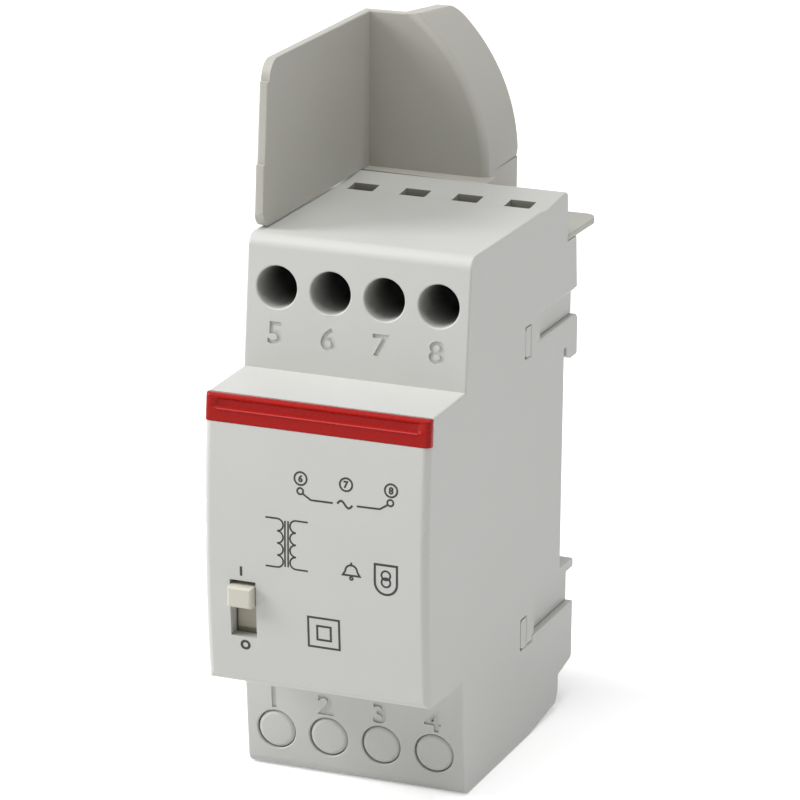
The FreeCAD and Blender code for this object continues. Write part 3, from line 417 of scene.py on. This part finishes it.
HOUSING_GREY = (0.565, 0.57, 0.545)
# Housing plastic darkened by painted shade at the mouths of the wire entries
ENTRY_SHADED_GREY = (0.40, 0.39, 0.34)
# Near black painted deep in the screw bores and wire entries as their shade
PAINTED_SHADE_GREY = (0.045, 0.045, 0.04)
SLOT_LOOKS = {
    "housing_plastic": plastic("housing_grey", HOUSING_GREY, 0.45),
    "strip_plastic": glossy_red("strip_red", (0.35, 0.005, 0.003)),
    "shield_plastic": plastic("shield_grey", (0.455, 0.445, 0.40), 0.42),
    "knob_plastic": plastic("knob_cream", (0.585, 0.57, 0.49), 0.38),
    "switch_plastic": plastic("switch_beige", (0.46, 0.43, 0.35), 0.5),
    "latch_plastic": plastic("latch_dark", (0.10, 0.10, 0.105), 0.45),
    "carrier_plastic": plastic("carrier_grey", (0.42, 0.42, 0.40), 0.5),
    "bobbin_plastic": plastic("bobbin_cream", (0.62, 0.60, 0.52), 0.5),
    "contact_brass": metal("brass_strip", (0.78, 0.60, 0.30), 0.3, stretch=(1, 0.1, 1)),
    "plated_steel": metal("zinc_plate", (0.62, 0.62, 0.60), 0.35),
    "core_steel": stacked_steel("core_steel", (0.22, 0.22, 0.23)),
    "copper_wire": wound_wire("enamelled_copper", (0.55, 0.20, 0.08)),
    "tape_film": plastic("yellow_film", (0.65, 0.45, 0.06), 0.25),
    "fuse_case": metal("tin_can", (0.55, 0.53, 0.48), 0.4),
}
# Painted shade on the walls of the screw bores, darker deeper in
BORE_PAINTED_SHADE = shaded_walls("bore_painted_shade", "Y", BORE_MOUTH, BORE_FULL_SHADE, HOUSING_GREY)
# Painted shade on the walls of the wire entries, darker deeper down
ENTRY_PAINTED_SHADE = shaded_walls("entry_painted_shade", "Z", TOP_HEIGHT, ENTRY_FULL_SHADE, ENTRY_SHADED_GREY)
# Paler red painted along the strip's ridge as a highlight
STRIP_PAINTED_HIGHLIGHT = glossy_red("strip_painted_highlight", (0.50, 0.06, 0.06))
PRINT_INK = plastic("print_ink", (0.025, 0.025, 0.025), 0.5, grain=0.1)


def dress_nodes():
    """Give every CAD node the look of its material slot."""
    slots = {row["node"]: row["material_slot"] for row in frame["record"]["subparts"]}
    for node, piece in frame["nodes"].items():
        if not piece.material_slots:
            piece.data.materials.append(None)
        for holder in piece.material_slots:
            holder.material = SLOT_LOOKS[slots[node]]


# Mesh tools

# Lengths are in millimetres and angles in degrees
WELD = 0.002
FLAT_ANGLE = 0.05
SHARP_ANGLE = 35
MITRE_LIMIT = 0.4


def new_object(name, mesh, material):
    piece = bpy.data.objects.new(name, mesh)
    bpy.context.collection.objects.link(piece)
    piece.data.materials.clear()
    piece.data.materials.append(material)
    return piece


def mesh_of(carrier):
    """The mesh of a curve or text, which is then removed."""
    bpy.context.collection.objects.link(carrier)
    view = bpy.context.evaluated_depsgraph_get()
    mesh = bpy.data.meshes.new_from_object(carrier.evaluated_get(view))
    bpy.data.objects.remove(carrier)
    return mesh


def apply_modifiers(piece):
    """Bake the piece's modifiers into its mesh."""
    view = bpy.context.evaluated_depsgraph_get()
    mesh = bpy.data.meshes.new_from_object(piece.evaluated_get(view))
    piece.modifiers.clear()
    old = piece.data
    piece.data = mesh
    bpy.data.meshes.remove(old)


def cleaned_copy(node, name, slot):
    """Copy of a CAD node with welded corners and flat faces in one piece."""
    source = frame["nodes"][node]
    piece = new_object(name, source.data.copy(), SLOT_LOOKS[slot])
    piece.matrix_world = source.matrix_world
    shape = bmesh.new()
    shape.from_mesh(piece.data)
    bmesh.ops.remove_doubles(shape, verts=shape.verts, dist=WELD * MM)
    bmesh.ops.dissolve_limit(shape, angle_limit=math.radians(FLAT_ANGLE), verts=shape.verts,
                             edges=shape.edges)
    shape.to_mesh(piece.data)
    shape.free()
    return piece


def outer_corner(edge):
    """Whether an edge is a sharp outer edge between two faces."""
    between_faces = len(edge.link_faces) == 2
    return between_faces and edge.is_convex and edge.calc_face_angle(0) > math.radians(SHARP_ANGLE)


def soften(piece, width, chosen):
    """Round the sharp outer edges that are chosen by their two ends, given in millimetres."""
    shape = bmesh.new()
    shape.from_mesh(piece.data)
    edges = [edge for edge in shape.edges
             if outer_corner(edge) and chosen(*(vertex.co / MM for vertex in edge.verts))]
    bmesh.ops.bevel(shape, geom=edges, offset=width * MM, segments=3, profile=0.5, affect="EDGES",
                    clamp_overlap=False, loop_slide=True)
    shape.to_mesh(piece.data)
    shape.free()


def smooth(piece, angle=38, weighted=True):
    """Smooth shading except across sharp edges; weighted lets the large faces stay flat."""
    shape = bmesh.new()
    shape.from_mesh(piece.data)
    for face in shape.faces:
        face.smooth = True
    for edge in shape.edges:
        edge.smooth = len(edge.link_faces) == 2 and edge.calc_face_angle(0) < math.radians(angle)
    shape.to_mesh(piece.data)
    shape.free()
    if not weighted:
        return
    weights = piece.modifiers.new("weights", "WEIGHTED_NORMAL")
    weights.keep_sharp = True
    weights.weight = 100
    apply_modifiers(piece)


def plain_block(name, centre, size, material):
    shape = bmesh.new()
    bmesh.ops.create_cube(shape, size=1.0)
    for vertex in shape.verts:
        vertex.co = Vector(middle + part * side for middle, part, side in zip(centre, vertex.co, size)) * MM
    mesh = bpy.data.meshes.new(name)
    shape.to_mesh(mesh)
    shape.free()
    return new_object(name, mesh, material)


def solid(name, flat, front, back, material):
    """Closed shell from a flat mesh in X and Z; front and back turn (x, z) into points."""
    shape = bmesh.new()
    shape.from_mesh(flat)
    bmesh.ops.remove_doubles(shape, verts=shape.verts, dist=0.0005)
    outline = [edge for edge in shape.edges if len(edge.link_faces) == 1]
    near, far = {}, {}
    result = bmesh.new()
    for vertex in shape.verts:
        near[vertex] = result.verts.new(Vector(front(vertex.co.x, vertex.co.y)) * MM)
        far[vertex] = result.verts.new(Vector(back(vertex.co.x, vertex.co.y)) * MM)
    for face in shape.faces:
        result.faces.new([near[vertex] for vertex in face.verts])
        result.faces.new([far[vertex] for vertex in reversed(face.verts)])
    for edge in outline:
        first, last = edge.verts
        result.faces.new([near[first], near[last], far[last], far[first]])
    bmesh.ops.recalc_face_normals(result, faces=result.faces)
    mesh = bpy.data.meshes.new(name)
    result.to_mesh(mesh)
    result.free()
    shape.free()
    return new_object(name, mesh, material)


def joined(name, shapes):
    """One flat mesh from lists of points and faces."""
    points, faces = [], []
    for shape_points, shape_faces in shapes:
        start = len(points)
        points += [(x, z, 0) for x, z in shape_points]
        faces += [[start + index for index in face] for face in shape_faces]
    mesh = bpy.data.meshes.new(name)
    mesh.from_pydata(points, [], faces)
    return mesh


# Flat shapes: each gives its points (x, z) and its faces

def glyph(text, across, up, tall, weight=0.0, spread=1.0):
    """Plain sign or number, centred on a place; weight thickens its strokes and spread widens it."""
    curve = bpy.data.curves.new("glyph", "FONT")
    curve.body = text
    curve.offset = weight
    curve.resolution_u = 4
    mesh = mesh_of(bpy.data.objects.new("glyph", curve))
    xs = [vertex.co.x for vertex in mesh.vertices]
    zs = [vertex.co.y for vertex in mesh.vertices]
    scale = tall / (max(zs) - min(zs))
    mid_x, mid_z = (max(xs) + min(xs)) / 2, (max(zs) + min(zs)) / 2
    points = [(across + (x - mid_x) * scale * spread, up + (z - mid_z) * scale) for x, z in zip(xs, zs)]
    return points, [list(face.vertices) for face in mesh.polygons]


def finely(path, closed):
    """The path with long runs divided, so that it follows the crowned face."""
    result = []
    for first, last in zip(path, path[1:] + path[:1] if closed else path[1:]):
        parts = max(1, round(math.dist(first, last)))
        result += [tuple(Vector(first).lerp(Vector(last), index / parts)) for index in range(parts)]
    return result if closed else [*result, path[-1]]


def stroke(path, width, closed=False):
    """Band of even width along a path, its corners mitred."""
    path = finely(path, closed)
    count = len(path)
    points = []
    for index, place in enumerate(path):
        here = Vector(place)
        before = Vector(path[index - 1]) if index or closed else None
        after = Vector(path[(index + 1) % count]) if index < count - 1 or closed else None
        ways = [(here - before).normalized()] if before else []
        ways += [(after - here).normalized()] if after else []
        normals = [Vector((-way.y, way.x)) for way in ways]
        mitre = sum(normals, Vector((0, 0))).normalized()
        reach = width / 2 / max(MITRE_LIMIT, mitre.dot(normals[0]))
        points += [tuple(here + mitre * reach), tuple(here - mitre * reach)]
    spans = count if closed else count - 1
    faces = [[2 * i, 2 * i + 1, (2 * i + 3) % (2 * count), (2 * i + 2) % (2 * count)] for i in range(spans)]
    return points, faces


def arc(across, up, radius, start=0, end=360, steps=28):
    """Points along an arc; a full circle leaves out its last point."""
    closed = end - start == 360
    count = steps if closed else steps + 1
    angles = [math.radians(start + (end - start) * index / steps) for index in range(count)]
    return [(across + radius * math.cos(angle), up + radius * math.sin(angle)) for angle in angles]


def ring(across, up, radius, width):
    return stroke(arc(across, up, radius), width, closed=True)


def square(left, right, low, high, width):
    return stroke([(left, low), (right, low), (right, high), (left, high)], width, closed=True)


def wave(across, up, length, tall, width):
    """One period of a sine: the sign for alternating current."""
    steps = 16
    path = [(across + length * (index / steps - 0.5), up + tall / 2 * math.sin(2 * math.pi * index / steps))
            for index in range(steps + 1)]
    return stroke(path, width)


# Signs on the face

def output_diagram():
    """Numbered outputs joined by a line with the sign for alternating current."""
    line, row = 0.29, 11.4
    numbers = ((-2.24, "6"), (4.99, "7"), (12.09, "8"))
    ends = ((-2.26, 9.48), (12.02, 9.53))
    left_line = [(-1.84, 9.12), (-0.55, 8.32), (2.95, 8.34)]
    right_line = [(6.75, 8.34), (10.38, 8.39), (11.56, 9.16)]
    shapes = []
    for across, number in numbers:
        shapes += [ring(across, row, 0.98, line), glyph(number, across, row, 1.15, 0.05)]
    shapes += [ring(*end, 0.48, line) for end in ends]
    shapes += [stroke(path, line) for path in (left_line, right_line)]
    shapes.append(wave(4.85, 8.35, 2.4, 1.0, 0.32))
    return shapes


def winding_symbol(across, up):
    """Two windings with a core between them, drawn as rows of half rings."""
    bow, line, rows = 0.95, 0.27, 4
    coil, lead, core, core_half = 1.5, 3.4, 0.25, 3.6
    shapes = []
    for side, turn in ((-1, -90), (1, 90)):
        middle = across + side * coil
        for index in range(rows):
            height = up + ((rows - 1) / 2 - index) * 2 * bow
            shapes.append(stroke(arc(middle, height, bow, turn, turn + 180, 12), line))
        for end in (rows * bow, -rows * bow):
            shapes.append(stroke([(middle, up + end), (across + side * lead, up + end)], line))
    for shift in (-core, core):
        shapes.append(stroke([(across + shift, up - core_half), (across + shift, up + core_half)], line))
    return shapes


def bell_symbol(across, up):
    """Bell: a dome on a straight rim, with a clapper below and a stub above."""
    line, rim = 0.31, 1.35
    dome = arc(across, up - 0.1, 0.95, 0, 180, 16)
    outline = [(across + rim, up - 0.75), *dome, (across - rim, up - 0.75)]
    clapper = ring(across, up - 1.2, 0.22, 0.28)
    stub = stroke([(across, up + 0.85), (across, up + 1.3)], line)
    return [stroke(outline, line, closed=True), clapper, stub]


def safety_symbol(across, up):
    """Rounded shield with two crossing rings, the general sign for a safety transformer."""
    half, top, coil = 1.75, 2.35, 0.7
    foot = arc(across, up - 0.5, half, 180, 360, 16)
    outline = [(across - half, up + top), *foot, (across + half, up + top)]
    rings = [ring(across, up + height, coil, 0.3) for height in (0.75, -0.35)]
    return [stroke(outline, 0.36, closed=True), *rings]


def double_square():
    """Two squares, one inside the other: the sign for double insulation."""
    line = 0.34
    return [square(-1.1, 3.85, -14.7, -10.0, line), square(0.32, 2.48, -13.48, -11.28, line)]


def switch_marks():
    """I above the slot and O below it."""
    return [glyph("I", -11.8, -4.27, 1.5, 0.06), glyph("O", -11.43, -16.11, 1.6, 0.06)]


def face_print():
    """Printed signs, as a thin layer that lies in the crowned face."""
    shapes = output_diagram() + winding_symbol(-4.4, 1.0) + bell_symbol(5.94, -1.75)
    shapes += safety_symbol(11.42, -2.5) + double_square() + switch_marks()
    flat = joined("face_print", shapes)
    piece = solid("face_print", flat, lambda x, z: (x, crown(z) - INK, z),
                  lambda x, z: (x, crown(z) + INK, z), PRINT_INK)
    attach(piece, "housing")


# Edges that are softened, told by their two ends in millimetres

WINDOW_FRONT = -12
RIM_REACH = 0.1
SHORTEST = 1.5
LATCH_ROOM_TOP = -15


def long_edge(first, last):
    return (first - last).length > SHORTEST


def upper_edge(first, last):
    """Long edge of the rear base above the latch's channel, where the lips are thin."""
    return long_edge(first, last) and min(first.z, last.z) > LATCH_ROOM_TOP


def side_edge(first, last):
    """Edge along the outline of a side of the cover, away from the snap windows."""
    middle = (first + last) / 2
    on_side = min(abs(first.x), abs(last.x)) > HALF_WIDTH - 0.05
    at_end = middle.z > TOP_HEIGHT - 1 or middle.z < 1 - FOOT_DEPTH
    return on_side and (middle.y < WINDOW_FRONT or at_end)


def bore_rim(first, last):
    """Edge round the mouth of a screw bore."""
    for point in (first, last):
        nearest = min(abs(math.hypot(point.x - across, abs(point.z) - BORE_HEIGHT) - BORE_RADIUS)
                      for across in TERMINALS)
        if nearest > RIM_REACH or point.y > shoulder(point.z) + 0.3:
            return False
    return True


def cap_rim(first, last):
    """Edge at the front of a plug's cap."""
    return max(first.y, last.y) < shoulder(-BORE_HEIGHT) + 0.4


# Pieces that take the place of CAD nodes

def number_cutter():
    """Numbers of the eight terminals, as blocks that reach into the shoulders."""
    upper = ((5, -13.0), (6, -4.36), (7, 4.08), (8, 13.0))
    lower = ((1, -13.2), (2, -4.6), (3, 4.3), (4, 12.9))
    shapes = [glyph(str(number), across, height, NUMBER_TALL, NUMBER_WEIGHT, NUMBER_SPREAD)
              for row, height in ((upper, 28.3), (lower, -29.8)) for number, across in row]
    flat = joined("numbers", shapes)
    return solid("numbers", flat, lambda x, z: (x, shoulder(z) - CUTTER_PROUD, z),
                 lambda x, z: (x, shoulder(z) + ENGRAVED, z), SLOT_LOOKS["housing_plastic"])


def shutter_room():
    """Block that clears the ribs above and below the switch, where the knob's thin shutter passes."""
    centre = (KNOB_ACROSS, SHUTTER_FRONT + SHUTTER_THICK / 2, KNOB_HEIGHT - KNOB_TRAVEL / 2)
    tall = SHUTTER_TALL + KNOB_TRAVEL + ROOM_ALONG
    size = (SHUTTER_WIDE + ROOM_ACROSS, SHUTTER_THICK + ROOM_DEEP, tall)
    return plain_block("shutter_room", centre, size, SLOT_LOOKS["housing_plastic"])


def engrave(piece, cutter):
    carve = piece.modifiers.new("engrave", "BOOLEAN")
    carve.operation = "DIFFERENCE"
    carve.solver = "EXACT"
    carve.use_self = True
    carve.object = cutter
    apply_modifiers(piece)
    bpy.data.objects.remove(cutter)


def darken_bores(piece):
    """Give the walls of the screw bores and wire entries painted shade that darkens a little way in."""
    piece.data.materials.append(BORE_PAINTED_SHADE)
    piece.data.materials.append(ENTRY_PAINTED_SHADE)
    for face in piece.data.polygons:
        x, y, z = (part / MM for part in face.center)
        inside = abs(x) < HALF_WIDTH - 1
        in_bore_row = abs(abs(z) - BORE_HEIGHT) < BORE_RADIUS + 0.45
        in_entry_row = ENTRY_FRONT < y < ENTRY_BACK and z > TOP_HEIGHT - ENTRY_DEEP
        upright = abs(face.normal.z) < 0.5
        if inside and in_bore_row and shoulder(z) + 0.3 < y < BORE_END:
            face.material_index = 1
        elif inside and in_entry_row and upright:
            face.material_index = 2


def cover_shell():
    """Cover with softened outline and bore mouths, engraved numbers and painted shade in its openings."""
    piece = cleaned_copy("front_cover", "cover_shell", "housing_plastic")
    soften(piece, 0.3, side_edge)
    soften(piece, 0.25, bore_rim)
    engrave(piece, number_cutter())
    engrave(piece, shutter_room())
    smooth(piece)
    # Painted shade on the walls of the screw bores and wire entries
    darken_bores(piece)
    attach(piece, "housing")
    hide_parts("front_cover")


def rounded_copy(node, name, slot, body, width, chosen):
    """Copy of a node with softened edges."""
    piece = cleaned_copy(node, name, slot)
    soften(piece, width, chosen)
    smooth(piece)
    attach(piece, body)
    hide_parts(node)


def plug_cap(number):
    """Cap of a blanked screw bore: its rounded rim leaves a shallow ring round it."""
    node = f"blanking_plug_{number}"
    piece = cleaned_copy(node, f"plug_cap_{number}", "housing_plastic")
    axis = Vector((TERMINALS[number - 1], 0, -BORE_HEIGHT)) * MM
    for vertex in piece.data.vertices:
        offset = vertex.co - axis
        vertex.co = axis + Vector((offset.x * CAP_SWELL, offset.y, offset.z * CAP_SWELL))
    soften(piece, CAP_ROUNDING, cap_rim)
    smooth(piece)
    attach(piece, "housing")
    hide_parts(node)


def clamped(value):
    return min(1.0, max(0.0, value))


def strip_depth(across, height):
    """Front of the strip: crowned, rounded at its ends and top, with a sunk upper band above a ridge."""
    depth = crown(height)
    for reach, room, radius in ((abs(across), HALF_WIDTH, END_RADIUS), (height, BROW, TOP_RADIUS)):
        over = max(0.0, reach - (room - radius))
        depth += radius - math.sqrt(max(0.0, radius ** 2 - over ** 2))
    inside = clamped((BAND_END - abs(across)) / BAND_SLOPE)
    band = clamped((height - STRIP_MIDDLE) / BAND_FOOT) * clamped((BROW - BAND_LIP - height) / BAND_HEAD)
    ridge = max(0.0, 1 - abs(height - STRIP_MIDDLE + RIDGE_DROP) / RIDGE_HALF)
    return depth + inside * (BAND_DEPTH * band - RIDGE_PEAK * ridge)


def samples(low, high, step, extra):
    """Even samples plus finer ones where the form turns."""
    count = round((high - low) / step)
    values = {round(low + (high - low) * index / count, 4) for index in range(count + 1)}
    return sorted(values | {round(value, 4) for value in extra})


def strip_places():
    """Places across and up at which the front of the strip is sampled."""
    turn = [1 - math.sin(math.radians(angle)) for angle in range(0, 91, 15)]
    sides = [HALF_WIDTH - END_RADIUS * part for part in turn]
    sides += [BAND_END - part for part in (0, BAND_SLOPE / 2, BAND_SLOPE)]
    ridge = STRIP_MIDDLE - RIDGE_DROP
    heights = [BROW - TOP_RADIUS * part for part in turn]
    heights += [ridge - RIDGE_HALF, ridge, ridge + RIDGE_HALF]
    heights += [STRIP_MIDDLE + RIDGE_HALF, STRIP_MIDDLE + BAND_FOOT]
    heights += [BROW - BAND_LIP - BAND_HEAD, BROW - BAND_LIP]
    across = samples(-HALF_WIDTH, HALF_WIDTH, 2.0, [*sides, *(-side for side in sides)])
    return across, samples(STRIP_LOW, BROW, 0.5, heights)


def strip_mesh(back):
    """Closed mesh between the sampled front and a flat back."""
    across, up = strip_places()
    shape = bmesh.new()
    front = [[shape.verts.new(Vector((x, strip_depth(x, z), z)) * MM) for z in up] for x in across]
    rear = [[shape.verts.new(Vector((x, back, z)) * MM) for z in (up[0], up[-1])] for x in across]
    for i in range(len(across) - 1):
        for j in range(len(up) - 1):
            shape.faces.new([front[i][j], front[i + 1][j], front[i + 1][j + 1], front[i][j + 1]])
        shape.faces.new([front[i][0], rear[i][0], rear[i + 1][0], front[i + 1][0]])
        shape.faces.new([front[i][-1], front[i + 1][-1], rear[i + 1][1], rear[i][1]])
        shape.faces.new([rear[i][0], rear[i][1], rear[i + 1][1], rear[i + 1][0]])
    shape.faces.new([*front[0], rear[0][1], rear[0][0]])
    shape.faces.new([*reversed(front[-1]), rear[-1][0], rear[-1][1]])
    bmesh.ops.recalc_face_normals(shape, faces=shape.faces)
    mesh = bpy.data.meshes.new("red_strip")
    shape.to_mesh(mesh)
    shape.free()
    return mesh


def red_strip():
    """Marking strip with a painted highlight in paler red along the ridge in its middle, and rounded ends.
    """
    back = crown(BROW) + 1.0
    piece = new_object("red_strip", strip_mesh(back), SLOT_LOOKS["strip_plastic"])
    piece.data.materials.append(STRIP_PAINTED_HIGHLIGHT)
    for face in piece.data.polygons:
        x, y, z = (part / MM for part in face.center)
        # Faces along the ridge take the paler red: a painted highlight
        on_painted_highlight = abs(z - STRIP_MIDDLE + RIDGE_DROP) < RIDGE_LIT
        if on_painted_highlight and abs(x) < BAND_END - BAND_SLOPE and y < back - 0.5:
            face.material_index = 1
    smooth(piece, 30, weighted=False)
    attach(piece, "housing")
    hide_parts("marking_strip")


def knob_shutter():
    """Thin plate behind the knob that closes the slot and slides with it."""
    centre = (KNOB_ACROSS, SHUTTER_FRONT + SHUTTER_THICK / 2, KNOB_HEIGHT)
    size = (SHUTTER_WIDE, SHUTTER_THICK, SHUTTER_TALL)
    piece = plain_block("knob_shutter", centre, size, SLOT_LOOKS["switch_plastic"])
    soften(piece, 0.12, long_edge)
    smooth(piece)
    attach(piece, "knob")


def coil_rise(turn, room):
    """Height of the coil after some turns, in metres: its first and last turn lie closed."""
    wire = WIRE * MM
    if turn <= 1:
        return turn * wire
    if turn >= COIL_TURNS - 1:
        return room - (COIL_TURNS - turn) * wire
    return wire + (turn - 1) / (COIL_TURNS - 2) * (room - 2 * wire)


def coil_curve(low, high):
    """Round wire wound inside a box whose two corners are in metres."""
    steps, wire = 20, WIRE * MM
    middle = (low + high) / 2
    radius = (high.x - low.x - wire) / 2
    curve = bpy.data.curves.new("latch_coil", "CURVE")
    curve.dimensions = "3D"
    curve.bevel_depth = wire / 2
    curve.bevel_resolution = 2
    curve.use_fill_caps = True
    line = curve.splines.new("POLY")
    line.points.add(COIL_TURNS * steps)
    for index, point in enumerate(line.points):
        angle = 2 * math.pi * index / steps
        rise = low.z + wire / 2 + coil_rise(index / steps, high.z - low.z - wire)
        point.co = (middle.x + radius * math.cos(angle), middle.y + radius * math.sin(angle), rise, 1)
    return curve


def latch_coil():
    """Spring of round wire that the latch's window presses together."""
    node = "latch_spring"
    low, high = (Vector(corner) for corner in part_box(node))
    mesh = mesh_of(bpy.data.objects.new("latch_coil_path", coil_curve(low, high)))
    piece = new_object("latch_coil", mesh, SLOT_LOOKS["plated_steel"])
    smooth(piece, 50, weighted=False)
    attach(piece, "housing")
    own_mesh(piece)
    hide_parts(node)


add_camera()
add_world()
for name, place, power in LAMPS:
    add_lamp(name, place, power)
add_floor()
dress_nodes()
cover_shell()
rounded_copy("rear_base", "base_shell", "housing_plastic", "housing", 0.2, upper_edge)
rounded_copy("separation_shield", "shield_shell", "shield_plastic", "housing", 0.25, long_edge)
for number in range(1, 5):
    plug_cap(number)
knob_shutter()
latch_coil()
red_strip()
face_print()
bpy.context.scene.view_settings.view_transform = "Standard"
